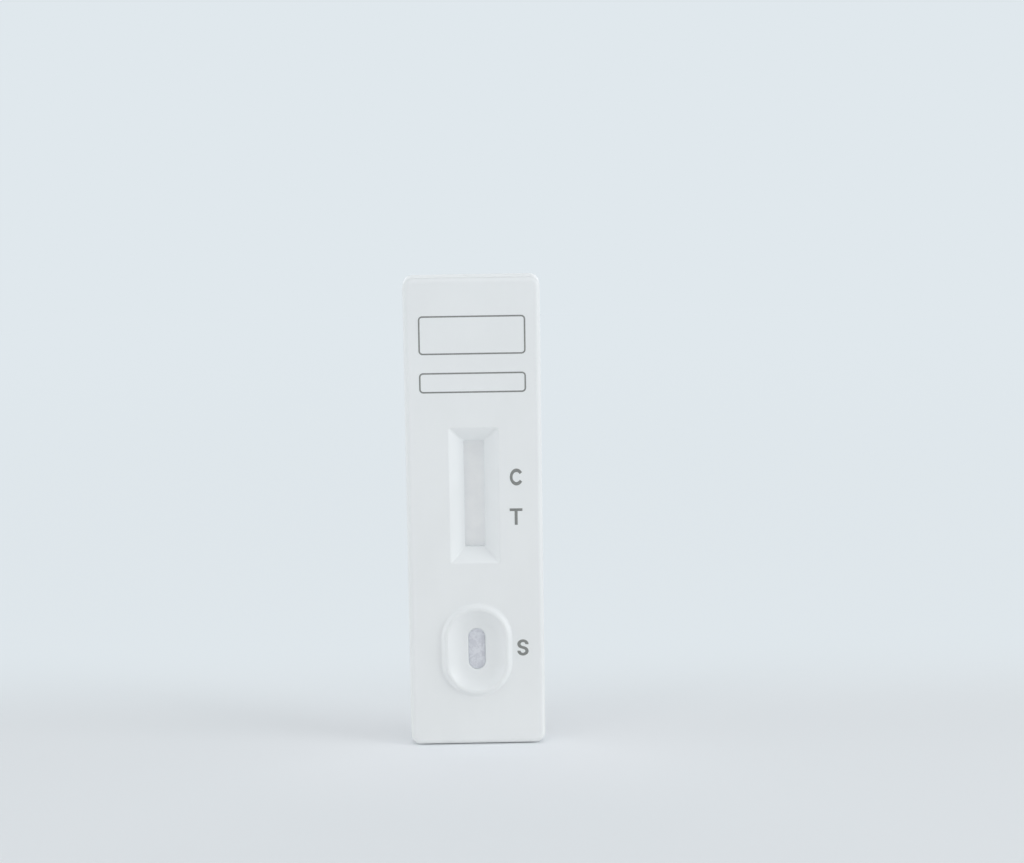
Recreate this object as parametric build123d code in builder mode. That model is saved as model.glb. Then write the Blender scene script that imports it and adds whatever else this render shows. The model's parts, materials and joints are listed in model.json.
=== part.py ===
from build123d import *
import os

# Lateral flow cassette: a two-part press-together housing round a test strip, on its sample end.
# +Z runs up the length from the sample end and +X across the width. The face with the window and
# the sample well looks along -Y. The origin is at the middle of the base. Sizes are in millimetres.

# Housing outline
length = 70.0
width = 20.0
corner_radius = 1.5
inner_corner_radius = 0.4
side_wall = 1.2
face_edge_radius = 0.8
back_edge_radius = 0.4
seam_chamfer = 0.12

# Layers from the flat back to the face
floor_plate = 1.2
bed_rise = 0.8
card_thickness = 0.3
membrane_thickness = 0.2
conjugate_thickness = 0.35
sample_thickness = 0.75
absorbent_thickness = 0.8
head_room = 0.4
face_plate = 1.2

# Locating tongue of the back shell and its rebate in the front shell
back_wall_rise = 0.9
tongue_thickness = 0.5
tongue_rise = 0.5
tongue_gap = 0.08

# Reading window
window_centre = 37.75
window_width = 3.0
window_length = 16.0
window_bevel_run = 2.15
window_land = 0.7
window_corner_radius = 0.25
window_edge_radius = 0.4
funnel_wall = 0.9
lip_inset = 0.05

# Sample well: an obround dish inside a raised rim
well_centre = 14.45
well_straight = 3.7
well_hole_radius = 1.24
well_hole_edge_radius = 0.28
well_sink = 0.6
rim_height = 0.6
rim_inner_radius = 4.27
rim_crest_width = 0.4
rim_slope_run = 0.55
rim_crest_radius = 0.28
rim_foot_radius = 0.3
well_boss_inset = 1.0
well_boss_gap = 0.3
well_lip_wall = 0.55

# Test strip
strip_width = 4.0
strip_end_margin = 5.0
pad_lap = 2.0
lap_ramp = 0.6
bare_margin = 2.0
well_pad_margin = 2.4

# Strip seat in the back shell and press bars in the front shell
strip_gap = 0.15
rail_thickness = 0.8
rail_over_strip = 0.1
stop_thickness = 0.8
stop_gap = 0.3
cross_rib_thickness = 1.0
cross_rib_count = 8
press_bar_thickness = 1.0
wick_bar_count = 2

# Locating pins of the front shell and their sockets in the back shell
pin_radius = 0.9
pin_clearance = 0.02
pin_lead = 0.25
pin_end_gap = 0.3
pin_end_inset = 7.0
pin_rows = 3
shoulder_radius = 1.4
shoulder_gap = 0.05
socket_radius = 1.7
socket_rise = 0.6
socket_wall_gap = 0.5

# Depths of the layers, measured from the flat back towards the face
bed = floor_plate + bed_rise
card_top = bed + card_thickness
membrane_top = card_top + membrane_thickness
sample_top = card_top + sample_thickness
sample_lap_top = sample_top + conjugate_thickness
absorbent_top = card_top + absorbent_thickness
absorbent_lap_top = membrane_top + absorbent_thickness
ceiling = max(absorbent_lap_top, sample_lap_top) + head_room
thickness = ceiling + face_plate
crest = thickness + rim_height
parting = floor_plate + back_wall_rise
tongue_top = parting + tongue_rise
rail_top = membrane_top + rail_over_strip
window_land_top = membrane_top + window_land
dish_bottom = thickness - well_sink
well_boss_bottom = sample_top + well_boss_gap
socket_top = parting + socket_rise
back_to_origin = crest / 2

# Places along the length, measured from the sample end
middle = length / 2
window_lip_wall = strip_width / 2 - lip_inset - window_width / 2
window_lip_reach = window_length / 2 + window_lip_wall + bare_margin
conjugate_end = window_centre - window_lip_reach
membrane_start = conjugate_end - pad_lap
absorbent_start = window_centre + window_lip_reach
membrane_end = absorbent_start + pad_lap
well_lip_radius = well_hole_radius + well_lip_wall
conjugate_start = well_centre + well_straight / 2 + well_lip_radius + well_pad_margin
sample_end = conjugate_start + pad_lap
strip_start = strip_end_margin
strip_end = length - strip_end_margin

# Places across the width
rail_inner = strip_width / 2 + strip_gap
rail_centre = rail_inner + rail_thickness / 2
pin_offset = width / 2 - side_wall - socket_wall_gap - socket_radius
pin_pitch = (length - 2 * pin_end_inset) / (pin_rows - 1)

# How far a cutting shape passes beyond the faces that it cuts
overcut = 1.0


def at_depth(depth):
    """Plane parallel to the face: x across, y up the length, normal out of the face."""
    return Plane.XZ.offset(depth - back_to_origin)


def y_at(depth):
    """Row-frame Y of a depth from the flat back."""
    return back_to_origin - depth


def housing_outline(inset):
    """Rounded outline of the housing drawn in by inset, for the open sketch."""
    with Locations((0, middle)):
        radius = max(corner_radius - inset, inner_corner_radius)
        RectangleRounded(width - 2 * inset, length - 2 * inset, radius)


def window_outline(margin):
    """Outline of the window opening grown by margin, for the open sketch."""
    with Locations((0, window_centre)):
        RectangleRounded(window_width + 2 * margin, window_length + 2 * margin, window_corner_radius)


def well_outline(radius):
    """Obround round the sample well, for the open sketch."""
    with Locations((0, well_centre)):
        SlotCenterToCenter(well_straight, 2 * radius, rotation=90)


def pin_circles(radius):
    """Circle at the place of each locating pin, for the open sketch."""
    with Locations((0, middle)):
        with GridLocations(2 * pin_offset, pin_pitch, 2, pin_rows):
            Circle(radius)


def dish_section(place, whole):
    """Section of the dish and the hole below it across the well at this height, one half or the whole."""
    hole_edge = (well_hole_radius, y_at(dish_bottom - well_hole_edge_radius))
    dish_edge = (well_hole_radius + well_hole_edge_radius, y_at(dish_bottom))
    rim_edge = (rim_inner_radius, y_at(crest))
    above = y_at(crest + overcut)
    below = y_at(sample_top - overcut)
    with BuildSketch(Plane.XY.offset(place)) as section:
        with BuildLine():
            TangentArc(hole_edge, dish_edge, tangent=(0, -1))
            TangentArc(dish_edge, rim_edge, tangent=(1, 0))
            Polyline(rim_edge, (rim_inner_radius, above), (0, above))
            Polyline((0, above), (0, below), (well_hole_radius, below), hole_edge)
        make_face()
        if whole:
            mirror(about=Plane.YZ)
    return section.sketch


def lapped_pad(flat_end, lap_edge, lap_end, step, pad_thickness):
    """Strip pad lying on the card from flat_end, and riding up by step over its neighbour at lap_edge."""
    ramp_start = lap_edge + (lap_ramp if flat_end > lap_edge else -lap_ramp)
    underside = [(0, flat_end), (0, ramp_start), (step, lap_edge), (step, lap_end)]
    lower = [(y_at(card_top + lift), z) for lift, z in underside]
    upper = [(y_at(card_top + lift + pad_thickness), z) for lift, z in reversed(underside)]
    with BuildPart() as pad:
        with BuildSketch(Plane.YZ):
            with BuildLine():
                Polyline(*lower, *upper, close=True)
            make_face()
        extrude(amount=strip_width / 2, both=True)
    return pad.part


# Front shell: cover with the window funnel, the raised sample well, lips, press bars and pins
with BuildPart() as front_shell:
    with BuildSketch(at_depth(parting)):
        housing_outline(0)
    extrude(amount=thickness - parting)
    fillet(front_shell.faces().sort_by(Axis.Y)[0].edges(), face_edge_radius)
    chamfer(front_shell.faces().sort_by(Axis.Y)[-1].edges(), seam_chamfer)

    # Inside of the cover, and the rebate round its rim for the tongue
    with BuildSketch(at_depth(parting)):
        housing_outline(side_wall)
    extrude(amount=ceiling - parting, mode=Mode.SUBTRACT)
    with BuildSketch(at_depth(parting)):
        housing_outline(side_wall - tongue_thickness - tongue_gap)
    extrude(amount=tongue_rise + tongue_gap, mode=Mode.SUBTRACT)

    # Tapered collar behind the window, down to the lip that bears on the membrane
    bevel_slope = window_bevel_run / (thickness - window_land_top)
    collar_margin = (ceiling - window_land_top) * bevel_slope + funnel_wall
    with BuildSketch(at_depth(ceiling)):
        window_outline(collar_margin)
    with BuildSketch(at_depth(membrane_top)):
        window_outline(window_lip_wall)
    loft()

    # Thickened pad behind the well, and the lip that bears on the sample pad
    with BuildSketch(at_depth(well_boss_bottom)):
        well_outline(rim_inner_radius - well_boss_inset)
    extrude(amount=ceiling - well_boss_bottom)
    with BuildSketch(at_depth(sample_top)):
        well_outline(well_lip_radius)
    extrude(amount=ceiling - sample_top)

    # Press bars over the laps of the strip and along the wick
    wick_start = membrane_end + lap_ramp
    wick_bar_pitch = (strip_end - wick_start) / (wick_bar_count + 1)
    press_bars = [
        (conjugate_start + pad_lap / 2, sample_lap_top),
        (absorbent_start + pad_lap / 2, absorbent_lap_top),
    ]
    for number in range(1, wick_bar_count + 1):
        press_bars.append((wick_start + number * wick_bar_pitch, absorbent_top))
    for place, depth in press_bars:
        with BuildSketch(at_depth(depth)):
            with Locations((0, place)):
                Rectangle(strip_width, press_bar_thickness)
        extrude(amount=ceiling - depth)

    # Locating pins with shoulders
    with BuildSketch(at_depth(socket_top + shoulder_gap)):
        pin_circles(shoulder_radius)
    extrude(amount=ceiling - socket_top - shoulder_gap)
    with BuildSketch(at_depth(floor_plate + pin_end_gap)):
        pin_circles(pin_radius)
    extrude(amount=ceiling - floor_plate - pin_end_gap)
    pin_tips = front_shell.faces().filter_by(Axis.Y).group_by(Axis.Y)[-1]
    chamfer(pin_tips.edges(), pin_lead)

    # Raised rim of the well
    rim_outer_radius = rim_inner_radius + rim_crest_width
    with BuildSketch(at_depth(thickness)):
        well_outline(rim_outer_radius + rim_slope_run)
    with BuildSketch(at_depth(crest)):
        well_outline(rim_outer_radius)
    loft(ruled=True)

    # Dish of the well, curved down to the hole, as two turned ends and a straight middle
    lower_end = well_centre - well_straight / 2
    for end_centre in (lower_end, lower_end + well_straight):
        turning_axis = Axis((0, 0, end_centre), (0, 1, 0))
        revolve(dish_section(end_centre, whole=False), axis=turning_axis, mode=Mode.SUBTRACT)
    extrude(dish_section(lower_end, whole=True), amount=well_straight, mode=Mode.SUBTRACT)

    # Window funnel with mitred bevels, and the opening below it
    with BuildSketch(at_depth(thickness)):
        window_outline(window_bevel_run)
    with BuildSketch(at_depth(window_land_top)):
        window_outline(0)
    loft(mode=Mode.SUBTRACT)
    with BuildSketch(at_depth(membrane_top - overcut)):
        window_outline(0)
    extrude(amount=window_land + overcut, mode=Mode.SUBTRACT)

    # Soft edges of the window, the foot of the rim and the crest of the rim
    face = front_shell.faces().filter_by(Axis.Y).sort_by(SortBy.AREA)[-1]
    rim_foot, window_edge = face.inner_wires().sort_by(Axis.Z)
    fillet(window_edge.edges(), window_edge_radius)
    fillet(rim_foot.edges(), rim_foot_radius)
    fillet(front_shell.faces().sort_by(Axis.Y)[0].edges(), rim_crest_radius)

# Back shell: tray with the tongue, guide rails, cross ribs, end stops and sockets
with BuildPart() as back_shell:
    with BuildSketch(at_depth(0)):
        housing_outline(0)
    extrude(amount=parting)
    fillet(back_shell.faces().sort_by(Axis.Y)[-1].edges(), back_edge_radius)
    chamfer(back_shell.faces().sort_by(Axis.Y)[0].edges(), seam_chamfer)
    with BuildSketch(at_depth(parting)):
        housing_outline(side_wall - tongue_thickness)
    extrude(amount=tongue_rise)
    with BuildSketch(at_depth(floor_plate)):
        housing_outline(side_wall)
    extrude(amount=tongue_top - floor_plate, mode=Mode.SUBTRACT)

    # Guide rails along both sides of the strip
    rail_length = strip_end - strip_start + 2 * (stop_gap + stop_thickness)
    with BuildSketch(at_depth(floor_plate)):
        with Locations((-rail_centre, middle), (rail_centre, middle)):
            Rectangle(rail_thickness, rail_length)
    extrude(amount=rail_top - floor_plate)

    # Stops at both ends of the strip
    stop_offset = (rail_length - stop_thickness) / 2
    with BuildSketch(at_depth(floor_plate)):
        with Locations((0, middle - stop_offset), (0, middle + stop_offset)):
            Rectangle(2 * rail_inner, stop_thickness)
    extrude(amount=rail_top - floor_plate)

    # Cross ribs that stiffen the tray and carry the strip
    rib_pitch = (strip_end - strip_start - cross_rib_thickness) / (cross_rib_count - 1)
    with BuildSketch(at_depth(floor_plate)):
        with Locations((0, middle)):
            with GridLocations(0, rib_pitch, 1, cross_rib_count):
                Rectangle(width - 2 * side_wall, cross_rib_thickness)
    extrude(amount=bed_rise)

    # Sockets for the pins
    with BuildSketch(at_depth(floor_plate)):
        pin_circles(socket_radius)
    extrude(amount=socket_top - floor_plate)
    with BuildSketch(at_depth(floor_plate)):
        pin_circles(pin_radius + pin_clearance)
    extrude(amount=socket_top - floor_plate, mode=Mode.SUBTRACT)

# Backing card of the strip
with BuildPart() as backing_card:
    with BuildSketch(at_depth(bed)):
        with Locations((0, (strip_start + strip_end) / 2)):
            Rectangle(strip_width, strip_end - strip_start)
    extrude(amount=card_thickness)

# Membrane on the card
with BuildPart() as membrane:
    with BuildSketch(at_depth(card_top)):
        with Locations((0, (membrane_start + membrane_end) / 2)):
            Rectangle(strip_width, membrane_end - membrane_start)
    extrude(amount=membrane_thickness)

# Pads of the strip, each lapped over its neighbour
conjugate_pad = lapped_pad(
    conjugate_start, membrane_start, conjugate_end, membrane_thickness, conjugate_thickness
)
sample_pad = lapped_pad(
    strip_start, conjugate_start, sample_end, conjugate_thickness, sample_thickness
)
absorbent_pad = lapped_pad(
    strip_end, membrane_end, absorbent_start, membrane_thickness, absorbent_thickness
)

# One file for each piece
pieces = {
    "front_shell": front_shell.part,
    "back_shell": back_shell.part,
    "backing_card": backing_card.part,
    "membrane": membrane.part,
    "conjugate_pad": conjugate_pad,
    "sample_pad": sample_pad,
    "absorbent_pad": absorbent_pad,
}
os.makedirs("parts", exist_ok=True)
for name, piece in pieces.items():
    piece.label = name
    export_step(piece, f"parts/{name}.step")
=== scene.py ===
import json
import math

import bmesh
import bpy
from mathutils import Matrix, Vector, noise

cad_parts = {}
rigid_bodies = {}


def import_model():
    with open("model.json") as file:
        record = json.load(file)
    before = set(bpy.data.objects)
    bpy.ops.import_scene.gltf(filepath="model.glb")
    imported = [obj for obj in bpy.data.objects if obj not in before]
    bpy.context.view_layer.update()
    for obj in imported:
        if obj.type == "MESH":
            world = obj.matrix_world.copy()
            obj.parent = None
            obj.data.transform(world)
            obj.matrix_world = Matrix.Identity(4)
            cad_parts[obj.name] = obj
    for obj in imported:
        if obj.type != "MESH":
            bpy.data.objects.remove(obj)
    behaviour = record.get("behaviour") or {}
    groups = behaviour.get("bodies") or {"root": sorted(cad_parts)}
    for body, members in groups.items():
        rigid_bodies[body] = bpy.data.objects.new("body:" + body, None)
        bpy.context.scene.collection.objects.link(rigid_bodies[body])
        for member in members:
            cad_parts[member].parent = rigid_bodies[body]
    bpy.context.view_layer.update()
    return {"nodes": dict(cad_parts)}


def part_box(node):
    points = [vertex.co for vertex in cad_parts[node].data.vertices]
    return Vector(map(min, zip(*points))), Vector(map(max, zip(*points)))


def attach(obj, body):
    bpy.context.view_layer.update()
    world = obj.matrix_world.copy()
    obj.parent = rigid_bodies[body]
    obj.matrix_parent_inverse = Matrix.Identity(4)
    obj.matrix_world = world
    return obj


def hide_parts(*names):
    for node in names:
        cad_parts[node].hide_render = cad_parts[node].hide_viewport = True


for left_over in list(bpy.data.objects):
    bpy.data.objects.remove(left_over)
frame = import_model()

# Lengths on the cassette are in millimetres, and lengths in the studio in metres
MM = 0.001

# Places on the cassette's face, the same as in the solids
FACE_Y = -2.2
WELL_CENTRE_Z = 14.45
WELL_STRAIGHT = 3.7
WELL_HOLE_RADIUS = 1.24

# Fibre of the sample pad that is pressed up into the hole of the well
CROWN_HEIGHT = 0.62
CROWN_EDGE = 0.05
CROWN_SINK = 0.1
CROWN_FLAT_STEPS = 7
CROWN_EDGE_STEPS = 4
CROWN_SWEEP_STEPS = 24

# Surface of the strip's layers: broad swells and a finer nap, each with its fineness and its share
SWELL_FINENESS = 2.2
SWELL_SHARE = 0.6
NAP_FINENESS = 7.0
NAP_SHARE = 0.4

# Points closer together than a weld become one, and so do faces that meet within the flat angle
WELD = 0.0001
CROWN_WELD = 0.001
FLAT_ANGLE = math.radians(1)

# Layer of ink on the face
INK_THICKNESS = 0.015
INK_SINK = 0.01

# Letters beside the window and the well
CAP_HEIGHT = 2.46
CONTROL_MARK_AT = (6.13, 40.47)
CONTROL_WIDTH = 1.8
CONTROL_HEIGHT = 2.52
CONTROL_STROKE = 0.5
CONTROL_START = 34
CONTROL_TURN = 293
CONTROL_STEPS = 40
TEST_MARK_AT = (6.08, 34.55)
TEST_WIDTH = 1.88
TEST_BAR = 0.4
TEST_STEM = 0.432
SAMPLE_MARK_AT = (6.82, 14.71)
SAMPLE_WIDTH = 1.66
SAMPLE_STROKE = 0.41
SAMPLE_START = -5
SAMPLE_LEAVE = 250
SAMPLE_STEPS = 26

# Boxes to write in: width, height and place
UPPER_BOX = (15.6, 5.7, (0.0, 61.6))
LOWER_BOX = (15.6, 3.0, (0.0, 54.6))
BOX_LINE = 0.22
BOX_CORNER = 0.6
BOX_CORNER_STEPS = 8

# Floor, with a narrow shadow gap under the foot, and how much it fades behind the cassette
FLOOR_RADIUS = 12.0
FLOOR_SEGMENTS = 96
FLOOR_GAP = 0.11 * MM
FLOOR_FADE_BEHIND = 0.8

# Lamps
LAMP_AIM = Vector((0, 0, 35 * MM))
LAMP_DISTANCE = 0.8

# Camera, fitted to the outline of the cassette, with its lens and sensor in millimetres
CAMERA_AT = (-0.08 * MM, -392.16 * MM, 114.71 * MM)
CAMERA_PAN = math.radians(0.842)
CAMERA_TILT = math.radians(-9.812)
CAMERA_ROLL = math.radians(-0.819)
CAMERA_LENS = 95.06
CAMERA_SENSOR = 36.0
CAMERA_NEAREST = 0.01
CAMERA_FURTHEST = 50.0


def linear(red, green, blue):
    """Scene-linear colour of an sRGB colour given in 0 to 255."""
    def one(level):
        level /= 255
        return level / 12.92 if level <= 0.04045 else ((level + 0.055) / 1.055) ** 2.4
    return (one(red), one(green), one(blue), 1.0)


BACKDROP = linear(224, 232, 237)
AMBIENT = (0.985, 0.995, 1.0, 1.0)
AMBIENT_STRENGTH = 0.462


class Value:
    """One value in a finish's recipe, which adds, subtracts and multiplies as a number does."""

    def __init__(self, recipe, socket):
        self.recipe = recipe
        self.socket = socket

    def worked_out(self, operation, first, second):
        return self.recipe.node("ShaderNodeMath", {"operation": operation}, {0: first, 1: second})

    def __add__(self, other):
        return self.worked_out("ADD", self, other)

    def __radd__(self, other):
        return self.worked_out("ADD", other, self)

    def __sub__(self, other):
        return self.worked_out("SUBTRACT", self, other)

    def __rsub__(self, other):
        return self.worked_out("SUBTRACT", other, self)

    def __mul__(self, other):
        return self.worked_out("MULTIPLY", self, other)

    def __rmul__(self, other):
        return self.worked_out("MULTIPLY", other, self)


class Recipe:
    """The nodes of one finish, or of the surroundings."""

    def __init__(self, tree):
        self.tree = tree
        tree.nodes.clear()

    def node(self, kind, settings=None, inputs=None, output=0):
        """Adds a node with its settings and the values or links of its sockets, and gives an output."""
        made = self.tree.nodes.new(kind)
        for name, setting in (settings or {}).items():
            setattr(made, name, setting)
        for name, given in (inputs or {}).items():
            if isinstance(given, Value):
                self.tree.links.new(given.socket, made.inputs[name])
            else:
                made.inputs[name].default_value = given
        return Value(self, made.outputs[output]) if made.outputs else None

    def place(self):
        return self.node("ShaderNodeTexCoord", output="Object")

    def turned(self, vector, turn, stretch):
        return self.node(
            "ShaderNodeMapping", {"vector_type": "TEXTURE"},
            {"Vector": vector, "Rotation": turn, "Scale": stretch},
        )

    def noise(self, vector, fineness, detail=2.0, roughness=0.5):
        return self.node(
            "ShaderNodeTexNoise", {"noise_dimensions": "3D"},
            {"Vector": vector, "Scale": fineness, "Detail": detail, "Roughness": roughness},
        )

    def band(self, value, low, high):
        """0 below low and 1 above high, with a soft step between them."""
        return self.node(
            "ShaderNodeMapRange", {"interpolation_type": "SMOOTHSTEP", "clamp": True},
            {"Value": value, "From Min": low, "From Max": high, "To Min": 0.0, "To Max": 1.0},
        )

    def blend(self, share, first, second):
        """Colour between two others. A Mix node's colours are its sockets 6 and 7, and its output 2."""
        return self.node("ShaderNodeMix", {"data_type": "RGBA"}, {0: share, 6: first, 7: second}, output=2)

    def bump(self, height, strength, depth):
        return self.node(
            "ShaderNodeBump", {},
            {"Height": height, "Strength": strength, "Distance": depth}, output="Normal",
        )

    def surface(self, inputs):
        return self.node("ShaderNodeBsdfPrincipled", {}, inputs)

    def finish(self, shader, kind="ShaderNodeOutputMaterial"):
        self.node(kind, {}, {"Surface": shader})


def new_finish(name):
    material = bpy.data.materials.new(name)
    material.use_nodes = True
    return material, Recipe(material.node_tree)


def shell_plastic_finish():
    """White moulded polystyrene: faint flow marks and the fine satin grain of the mould."""
    material, recipe = new_finish("moulded_plastic")
    place = recipe.place()
    along = recipe.turned(place, turn=(0, 0, 0), stretch=(1.0, 1.0, 2.2))
    flow = recipe.noise(along, 160.0, detail=3.0)
    grain = recipe.noise(place, 7000.0, roughness=0.6)
    ripple = recipe.noise(place, 900.0, detail=1.0)
    streaks = recipe.band(flow, 0.35, 0.65)
    recipe.finish(recipe.surface({
        "Base Color": recipe.blend(streaks, linear(233, 237, 239), linear(235, 239, 241)),
        "Roughness": 0.4 + flow * 0.08 + grain * 0.06,
        "IOR": 1.53,
        "Normal": recipe.bump(grain + ripple * 0.6, strength=0.12, depth=0.004 * MM),
    }))
    return material


def card_finish():
    """White vinyl backing card."""
    material, recipe = new_finish("vinyl_card")
    place = recipe.place()
    flow = recipe.noise(place, 300.0)
    grain = recipe.noise(place, 5000.0, detail=1.0)
    recipe.finish(recipe.surface({
        "Base Color": recipe.blend(flow, linear(226, 226, 223), linear(231, 231, 228)),
        "Roughness": 0.42 + grain * 0.08,
        "Normal": recipe.bump(grain, strength=0.1, depth=0.003 * MM),
    }))
    return material


def membrane_finish():
    """Cast nitrocellulose: matt white, with the fine open pores of the sheet."""
    material, recipe = new_finish("cast_membrane")
    place = recipe.place()
    pores = recipe.noise(place, 9000.0, detail=4.0, roughness=0.7)
    cloud = recipe.noise(place, 500.0, detail=3.0)
    shade = recipe.band(pores * 0.5 + cloud * 0.5, 0.35, 0.65)
    recipe.finish(recipe.surface({
        "Base Color": recipe.blend(shade, linear(241, 243, 245), linear(246, 248, 249)),
        "Roughness": 0.78 + pores * 0.15,
        "Specular IOR Level": 0.3,
        "Normal": recipe.bump(pores, strength=0.35, depth=0.01 * MM),
    }))
    return material


def fibre_finish(name, dark, pale, fineness):
    """Pressed fibre: strands lying in several directions, with painted shade in the gaps between them."""
    material, recipe = new_finish(name)
    place = recipe.place()
    directions = (12, 57, 101, 146)
    strands = 0.0
    for direction in directions:
        laid = recipe.turned(place, turn=(0, math.radians(direction), 0), stretch=(1.0, 1.0, 9.0))
        strands = strands + recipe.noise(laid, fineness, roughness=0.55)
    weave = recipe.band(strands * (1 / len(directions)), 0.42, 0.6)
    cloud = recipe.noise(place, 900.0, detail=3.0)
    # Painted shade: the gaps between the strands take the dark colour; the cloud adds a random tone
    tone = recipe.band(weave * 0.75 + cloud * 0.25, 0.15, 0.8)
    recipe.finish(recipe.surface({
        "Base Color": recipe.blend(tone, dark, pale),
        "Roughness": 0.95 - weave * 0.1,
        "Specular IOR Level": 0.2,
        "Normal": recipe.bump(weave, strength=0.45, depth=0.03 * MM),
    }))
    return material


def ink_finish():
    """Grey pad-printed ink, a little uneven where it lies thinner."""
    material, recipe = new_finish("print_ink")
    place = recipe.place()
    cover = recipe.band(recipe.noise(place, 3500.0, detail=3.0, roughness=0.6), 0.3, 0.75)
    grain = recipe.noise(place, 9000.0)
    recipe.finish(recipe.surface({
        "Base Color": recipe.blend(cover, linear(127, 130, 129), linear(139, 142, 140)),
        "Roughness": 0.5 + grain * 0.12,
        "Normal": recipe.bump(grain, strength=0.15, depth=0.003 * MM),
    }))
    return material


def floor_finish():
    """Pale floor that runs into the backdrop's colour far from the cassette and behind it, with painted
    light round the foot and a brighter colour for bounced light.
    """
    material, recipe = new_finish("floor")
    place = recipe.place()
    away = recipe.node("ShaderNodeVectorMath", {"operation": "LENGTH"}, {0: place}, output="Value")
    behind = recipe.node("ShaderNodeSeparateXYZ", {}, {0: place}, output="Y")
    # Painted light: the floor's colour is lighter within a few centimetres of the foot, against the shade
    # the cassette casts there
    painted_light_falloff = recipe.band(away, 9 * MM, 45 * MM)
    further_back = recipe.band(behind, 2 * MM, 50 * MM)
    tone = recipe.blend(painted_light_falloff, linear(241, 245, 249), linear(237, 242, 246))
    tone = recipe.blend(further_back, tone, linear(240, 246, 250))
    # Painted fill light: rays that bounce off the floor see it near-white, lighter than the camera sees it
    watched = recipe.node("ShaderNodeLightPath", output="Is Camera Ray")
    tone = recipe.blend(watched, linear(251, 251, 251), tone)
    near = recipe.surface({"Base Color": tone, "Roughness": 0.9, "Specular IOR Level": 0.2})
    far = recipe.node("ShaderNodeEmission", {}, {"Color": BACKDROP, "Strength": 1.0})
    far_off = recipe.band(away, 0.1, 0.5)
    well_behind = recipe.band(behind, 10 * MM, 60 * MM)
    fade = 1 - (1 - far_off) * (1 - FLOOR_FADE_BEHIND * well_behind)
    recipe.finish(recipe.node("ShaderNodeMixShader", {}, {0: fade, 1: near, 2: far}))
    return material


def add_piece(name, bm, material):
    """Puts a finished shape into the scene as a piece that rides on the cassette."""
    mesh = bpy.data.meshes.new(name)
    bm.to_mesh(mesh)
    bm.free()
    mesh.materials.append(material)
    piece = bpy.data.objects.new(name, mesh)
    bpy.context.scene.collection.objects.link(piece)
    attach(piece, "root")
    return piece


def cut_grid(bm, low, high, spacing):
    """Cuts a layer across and along into a grid of about this spacing."""
    for axis in (0, 2):
        reach = high[axis] - low[axis]
        cuts = round(reach / (spacing * MM))
        normal = Vector([1.0 if k == axis else 0.0 for k in range(3)])
        for cut in range(1, cuts):
            every = list(bm.verts) + list(bm.edges) + list(bm.faces)
            at = low + normal * (reach * cut / cuts)
            bmesh.ops.bisect_plane(bm, geom=every, dist=WELD * MM, plane_co=at, plane_no=normal)


def raise_crown(bm, base):
    """Adds the fibre that is pressed up into the hole of the well: obround, with a soft edge."""
    flat = WELL_HOLE_RADIUS - CROWN_EDGE
    outline = [(flat * step / CROWN_FLAT_STEPS, CROWN_HEIGHT) for step in range(CROWN_FLAT_STEPS + 1)]
    for step in range(1, CROWN_EDGE_STEPS + 1):
        turn = math.radians(90 * step / CROWN_EDGE_STEPS)
        out = flat + CROWN_EDGE * math.sin(turn)
        up = CROWN_HEIGHT - CROWN_EDGE * (1 - math.cos(turn))
        outline.append((out, up))
    outline.append((WELL_HOLE_RADIUS, -CROWN_SINK))
    upper = WELL_CENTRE_Z + WELL_STRAIGHT / 2
    lower = WELL_CENTRE_Z - WELL_STRAIGHT / 2
    verts = [bm.verts.new((out * MM, base - up * MM, upper * MM)) for out, up in outline]
    section = [bm.edges.new(pair) for pair in zip(verts, verts[1:])]
    # Half a turn at the upper end, straight down, half a turn at the lower end, and straight up
    for centre, angle, run in ((upper, 180, 0), (lower, 0, -1), (lower, 180, 0), (upper, 0, 1)):
        swept = bmesh.ops.spin(
            bm, geom=section + verts, cent=(0, 0, centre * MM), axis=(0, -1, 0),
            dvec=(0, 0, run * WELL_STRAIGHT * MM / CROWN_SWEEP_STEPS), angle=math.radians(angle),
            steps=CROWN_SWEEP_STEPS, use_merge=False, use_duplicate=False,
        )["geom_last"]
        section = [part for part in swept if isinstance(part, bmesh.types.BMEdge)]
        verts = [part for part in swept if isinstance(part, bmesh.types.BMVert)]
    bmesh.ops.remove_doubles(bm, verts=bm.verts, dist=CROWN_WELD * MM)
    bmesh.ops.holes_fill(bm, edges=[edge for edge in bm.edges if edge.is_boundary], sides=0)
    bmesh.ops.recalc_face_normals(bm, faces=bm.faces)


def roughen(bm, unevenness):
    """Sinks each point by its own share of the unevenness, so that the surface looks like fibre."""
    bm.normal_update()
    moves = []
    for vert in bm.verts:
        spot = vert.co / MM
        swell = noise.noise(spot * SWELL_FINENESS) * SWELL_SHARE
        nap = noise.noise(spot * NAP_FINENESS) * NAP_SHARE
        depth = unevenness * MM * (0.5 + 0.5 * (swell + nap))
        moves.append((vert, vert.normal * -depth))
    for vert, move in moves:
        vert.co += move


def fibre_layer(node, name, material, spacing, unevenness, crown=False):
    """The strip layer of a node, cut into a fine grid and given the uneven surface of fibre."""
    bm = bmesh.new()
    bm.from_mesh(frame["nodes"][node].data)
    bmesh.ops.remove_doubles(bm, verts=bm.verts, dist=WELD * MM)
    bmesh.ops.dissolve_limit(
        bm, angle_limit=FLAT_ANGLE, verts=bm.verts, edges=bm.edges, use_dissolve_boundaries=False
    )
    low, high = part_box(node)
    cut_grid(bm, low, high, spacing)
    if crown:
        raise_crown(bm, low.y)
    roughen(bm, unevenness)
    for face in bm.faces:
        face.smooth = True
    piece = add_piece(name, bm, material)
    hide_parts(node)
    return piece


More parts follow.
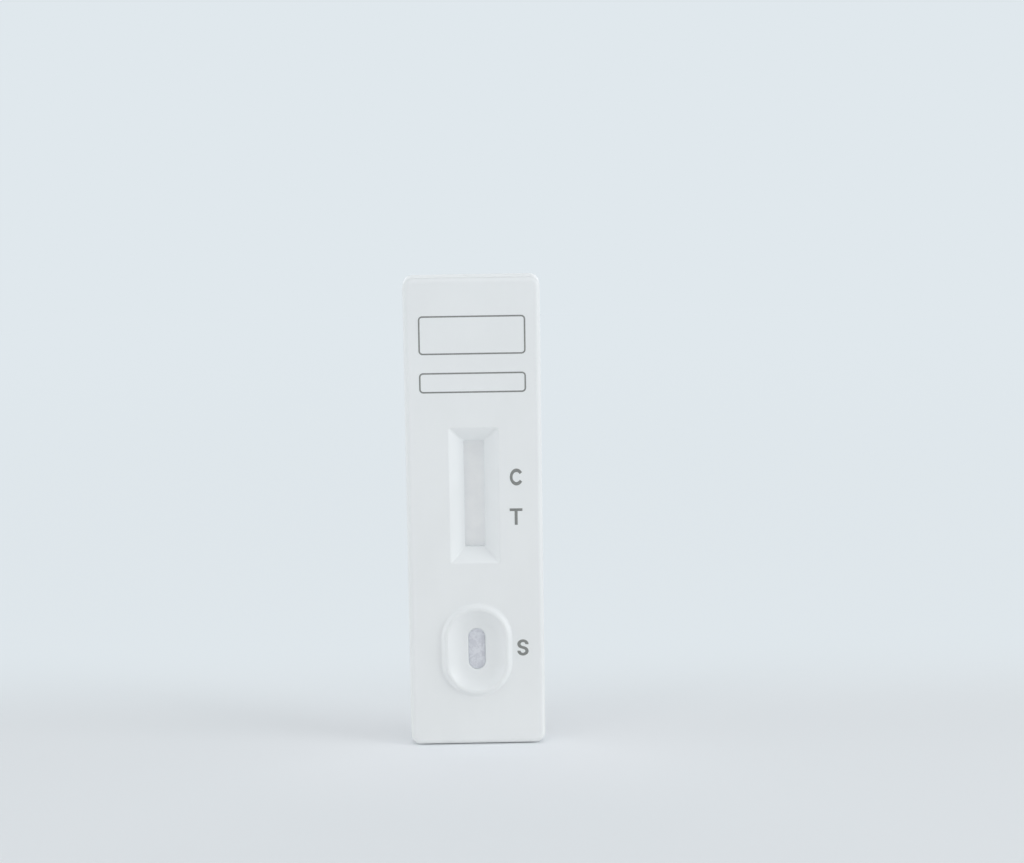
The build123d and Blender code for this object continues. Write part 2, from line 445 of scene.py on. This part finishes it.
def raise_print(bm, at):
    """Turns a flat shape drawn in x and y, in millimetres, into a thin layer of ink on the face."""
    bmesh.ops.recalc_face_normals(bm, faces=bm.faces)
    sides = bmesh.ops.extrude_face_region(bm, geom=list(bm.faces))
    top = [part for part in sides["geom"] if isinstance(part, bmesh.types.BMVert)]
    bmesh.ops.translate(bm, verts=top, vec=(0, 0, INK_THICKNESS + INK_SINK))
    stand_up = Matrix.Rotation(math.radians(90), 4, "X")
    to_face = Matrix.Translation((at[0], FACE_Y + INK_SINK, at[1]))
    bmesh.ops.transform(bm, verts=bm.verts, matrix=Matrix.Scale(MM, 4) @ to_face @ stand_up)
    bmesh.ops.recalc_face_normals(bm, faces=bm.faces)
    return bm


def stroke_start(bm, centre, radius, angle, stroke):
    """Edge across the stroke of a letter, at an angle round a centre."""
    heading = Vector((math.cos(math.radians(angle)), math.sin(math.radians(angle)), 0))
    middle = Vector((*centre, 0)) + heading * radius
    ends = [bm.verts.new(middle + heading * (side * stroke / 2)) for side in (-1, 1)]
    return bm.edges.new(ends)


def stroke_arc(bm, edge, centre, turn, steps):
    """Sweeps an edge of a letter round a centre and gives back the edge at its end."""
    swept = bmesh.ops.spin(
        bm, geom=[edge, *edge.verts], cent=(centre[0], centre[1], 0), axis=(0, 0, 1),
        dvec=(0, 0, 0), angle=math.radians(turn), steps=steps, use_merge=False, use_duplicate=False,
    )
    return next(part for part in swept["geom_last"] if isinstance(part, bmesh.types.BMEdge))


def fit_letter(bm, width, height):
    """Brings a letter to its width and height, with its middle at the origin."""
    xs = [vert.co.x for vert in bm.verts]
    ys = [vert.co.y for vert in bm.verts]
    to_middle = (-(max(xs) + min(xs)) / 2, -(max(ys) + min(ys)) / 2, 0)
    bmesh.ops.translate(bm, verts=bm.verts, vec=to_middle)
    to_size = (width / (max(xs) - min(xs)), height / (max(ys) - min(ys)), 1)
    bmesh.ops.scale(bm, verts=bm.verts, vec=to_size)


def control_letter():
    """One open bowl."""
    bm = bmesh.new()
    radius = (CAP_HEIGHT - CONTROL_STROKE) / 2
    first = stroke_start(bm, (0, 0), radius, CONTROL_START, CONTROL_STROKE)
    stroke_arc(bm, first, (0, 0), CONTROL_TURN, CONTROL_STEPS)
    fit_letter(bm, CONTROL_WIDTH, CONTROL_HEIGHT)
    return raise_print(bm, CONTROL_MARK_AT)


def test_letter():
    """A bar on a stem: a grid of three columns and two rows, without the faces beside the stem."""
    bm = bmesh.new()
    bmesh.ops.create_grid(bm, x_segments=3, y_segments=2, size=0.5)
    top = CAP_HEIGHT / 2
    under_bar = top - TEST_BAR
    columns = (-TEST_WIDTH / 2, -TEST_STEM / 2, TEST_STEM / 2, TEST_WIDTH / 2)
    rows = (-top, under_bar, top)
    for vert in bm.verts:
        vert.co.x = columns[round((vert.co.x + 0.5) * 3)]
        vert.co.y = rows[round((vert.co.y + 0.5) * 2)]
    beside_stem = []
    for face in bm.faces:
        middle = face.calc_center_median()
        if middle.y < under_bar and abs(middle.x) > TEST_STEM / 2:
            beside_stem.append(face)
    bmesh.ops.delete(bm, geom=beside_stem, context="FACES")
    return raise_print(bm, TEST_MARK_AT)


def sample_letter():
    """Two bowls joined by a slanting waist that leaves both of them straight on."""
    bm = bmesh.new()
    leave = math.radians(SAMPLE_LEAVE)
    rise = -math.sin(leave)
    radius = (CAP_HEIGHT - SAMPLE_STROKE) / (2 + 2 / rise)
    bowl = radius / rise
    turn = SAMPLE_LEAVE - SAMPLE_START
    first = stroke_start(bm, (0, bowl), radius, SAMPLE_START, SAMPLE_STROKE)
    turned_in = stroke_arc(bm, first, (0, bowl), turn, SAMPLE_STEPS)
    waist = bmesh.ops.extrude_edge_only(bm, edges=[turned_in])["geom"]
    ends = [part for part in waist if isinstance(part, bmesh.types.BMVert)]
    reach = (-2 * radius * math.cos(leave), -2 * (bowl - radius * rise), 0)
    bmesh.ops.translate(bm, verts=ends, vec=reach)
    turned_out = bm.edges.get(ends)
    stroke_arc(bm, turned_out, (0, -bowl), -turn, SAMPLE_STEPS)
    fit_letter(bm, SAMPLE_WIDTH, CAP_HEIGHT)
    return raise_print(bm, SAMPLE_MARK_AT)


def write_on_box(width, height, at):
    """Outline of a plain box to write in, with rounded corners."""
    bm = bmesh.new()
    bmesh.ops.create_grid(bm, x_segments=1, y_segments=1, size=0.5)
    bmesh.ops.scale(bm, verts=bm.verts, vec=(width, height, 1))
    bmesh.ops.bevel(
        bm, geom=list(bm.verts), offset=BOX_CORNER, segments=BOX_CORNER_STEPS, profile=0.5,
        affect="VERTICES", material=-1,
    )
    middle = list(bm.faces)
    bmesh.ops.inset_region(bm, faces=middle, thickness=BOX_LINE, use_even_offset=True, use_boundary=True)
    bmesh.ops.delete(bm, geom=middle, context="FACES")
    return raise_print(bm, at)


def lay_floor():
    """Wide floor under the cassette."""
    bm = bmesh.new()
    bmesh.ops.create_circle(bm, cap_ends=True, segments=FLOOR_SEGMENTS, radius=FLOOR_RADIUS)
    mesh = bpy.data.meshes.new("floor")
    bm.to_mesh(mesh)
    bm.free()
    mesh.materials.append(floor_finish())
    floor = bpy.data.objects.new("floor", mesh)
    floor.location.z = -FLOOR_GAP
    bpy.context.scene.collection.objects.link(floor)


def light_surroundings():
    """Even pale light, and the backdrop's colour where the surroundings are seen or mirrored."""
    world = bpy.data.worlds.new("studio")
    world.use_nodes = True
    bpy.context.scene.world = world
    recipe = Recipe(world.node_tree)
    seen = 0.0
    for ray in ("Is Camera Ray", "Is Glossy Ray", "Is Transmission Ray"):
        seen = seen + recipe.node("ShaderNodeLightPath", output=ray)
    ambient = recipe.node("ShaderNodeBackground", {}, {"Color": AMBIENT, "Strength": AMBIENT_STRENGTH})
    backdrop = recipe.node("ShaderNodeBackground", {}, {"Color": BACKDROP, "Strength": 1.0})
    shown = recipe.node("ShaderNodeMixShader", {}, {0: recipe.band(seen, 0.0, 1.0), 1: ambient, 2: backdrop})
    recipe.finish(shown, "ShaderNodeOutputWorld")


def area_lamp(name, azimuth, elevation, size, power):
    """Soft lamp that looks at the middle of the cassette. Azimuth 0 is in front, 90 at the right."""
    lamp = bpy.data.lights.new(name, "AREA")
    lamp.shape = "RECTANGLE"
    lamp.size, lamp.size_y = size
    lamp.energy = power
    round_about = Matrix.Rotation(math.radians(azimuth), 3, "Z")
    upwards = Matrix.Rotation(math.radians(-elevation), 3, "X")
    heading = round_about @ upwards @ Vector((0, -1, 0))
    holder = bpy.data.objects.new(name, lamp)
    holder.location = LAMP_AIM + heading * LAMP_DISTANCE
    holder.rotation_mode = "QUATERNION"
    holder.rotation_quaternion = (-heading).to_track_quat("-Z", "Y")
    bpy.context.scene.collection.objects.link(holder)


def set_up_camera():
    """Camera at the photograph's viewing angle."""
    camera_data = bpy.data.cameras.new("camera")
    camera_data.lens = CAMERA_LENS
    camera_data.sensor_width = CAMERA_SENSOR
    camera_data.clip_start = CAMERA_NEAREST
    camera_data.clip_end = CAMERA_FURTHEST
    camera = bpy.data.objects.new("camera", camera_data)
    pan = Matrix.Rotation(-CAMERA_PAN, 4, "Z")
    tilt = Matrix.Rotation(math.radians(90) + CAMERA_TILT, 4, "X")
    roll = Matrix.Rotation(CAMERA_ROLL, 4, "Z")
    camera.matrix_world = Matrix.Translation(CAMERA_AT) @ pan @ tilt @ roll
    bpy.context.scene.collection.objects.link(camera)
    bpy.context.scene.camera = camera


# Finishes of the shells and the card
plastic = shell_plastic_finish()
for shell in ("front_shell", "back_shell"):
    frame["nodes"][shell].material_slots[0].material = plastic
frame["nodes"]["backing_card"].material_slots[0].material = card_finish()

# Layers of the test strip
sample_fibre = fibre_finish("sample_pad_fibre", linear(210, 213, 221), linear(223, 226, 233), 2600.0)
conjugate_fibre = fibre_finish("conjugate_pad_fibre", linear(196, 186, 190), linear(226, 220, 222), 3200.0)
blotting_paper = fibre_finish("blotting_paper", linear(212, 212, 206), linear(232, 232, 228), 1800.0)
fibre_layer(
    "membrane", "strip_membrane", membrane_finish(), spacing=0.5, unevenness=0.004
)
sample_pad = fibre_layer(
    "sample_pad", "strip_sample_pad", sample_fibre, spacing=0.2, unevenness=0.04, crown=True
)
conjugate_pad = fibre_layer(
    "conjugate_pad", "strip_conjugate_pad", conjugate_fibre, spacing=0.25, unevenness=0.04
)
wick = fibre_layer(
    "absorbent_pad", "strip_wick", blotting_paper, spacing=0.3, unevenness=0.05
)

# Printed marks beside the window and the well, and the boxes to write in
ink = ink_finish()
add_piece("print_control_letter", control_letter(), ink)
add_piece("print_test_letter", test_letter(), ink)
add_piece("print_sample_letter", sample_letter(), ink)
add_piece("print_upper_box", write_on_box(*UPPER_BOX), ink)
add_piece("print_lower_box", write_on_box(*LOWER_BOX), ink)

# Studio: the strongest lamp is at the right, and weaker ones stand round the cassette
lay_floor()
light_surroundings()
area_lamp("lamp_right", azimuth=68, elevation=14, size=(0.4, 0.3), power=2.2)
area_lamp("lamp_left", azimuth=-80, elevation=14, size=(0.4, 0.3), power=0.83)
area_lamp("lamp_front_left", azimuth=-50, elevation=15, size=(0.3, 0.3), power=0.71)
area_lamp("lamp_above", azimuth=0, elevation=76, size=(0.6, 0.6), power=1.22)
area_lamp("lamp_behind", azimuth=180, elevation=14, size=(1.4, 0.5), power=1.7)
set_up_camera()
bpy.context.scene.view_settings.view_transform = "Standard"
